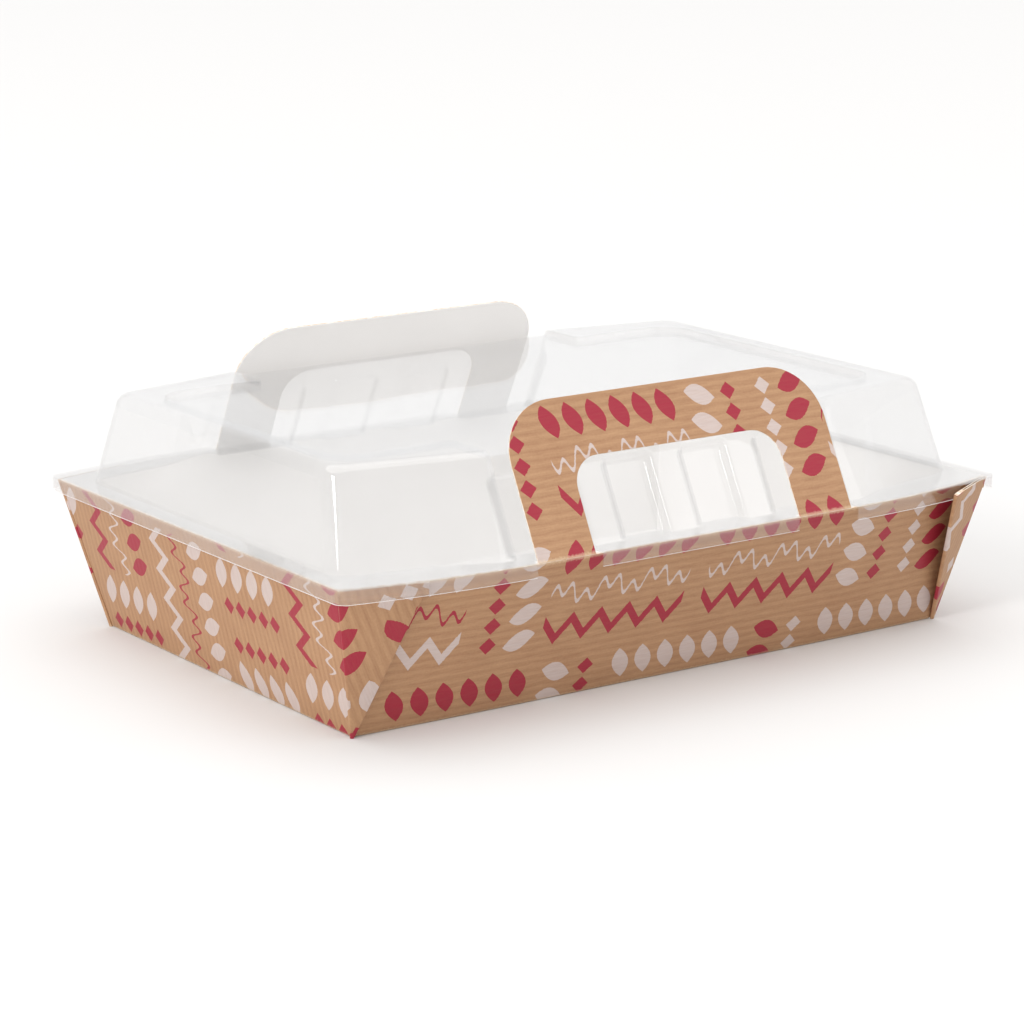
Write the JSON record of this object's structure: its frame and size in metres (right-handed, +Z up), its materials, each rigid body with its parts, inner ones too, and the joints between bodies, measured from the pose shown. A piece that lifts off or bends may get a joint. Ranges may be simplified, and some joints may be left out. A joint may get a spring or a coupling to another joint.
{
  "type": "takeaway tray with handles",
  "caption": "Shallow folded board takeaway tray with arched handle flaps that lean in over a clear raised lid.",
  "frame": {"origin": "middle of the flat bottom, where the tray stands", "axes": "+Z up from the bottom to the handles, +X along the long walls and handle creases, front handle at -Y"},
  "size_m": [0.2028, 0.1627, 0.0752],
  "materials": {
    "board": "ribbed kraft outside, coated white inside",
    "handle_board": "ribbed kraft outside, coated white inside",
    "lid_sheet": "clear gloss"
  },
  "bodies": {
    "base": {"tray": "board", "lid": "lid_sheet"},
    "front_flap": {"front_handle": "handle_board"},
    "rear_flap": {"rear_handle": "handle_board"}
  },
  "joints": [
    {"name": "front_flap_hinge", "type": "hinge", "parent": "base", "child": "front_flap", "pos_m": [0, -0.07827, 0.0398], "axis": [1, 0, 0], "range_deg": [0, 110]},
    {"name": "rear_flap_hinge", "type": "hinge", "parent": "base", "child": "rear_flap", "pos_m": [0, 0.07827, 0.0398], "axis": [-1, 0, 0], "range_deg": [0, 110]}
  ]
}
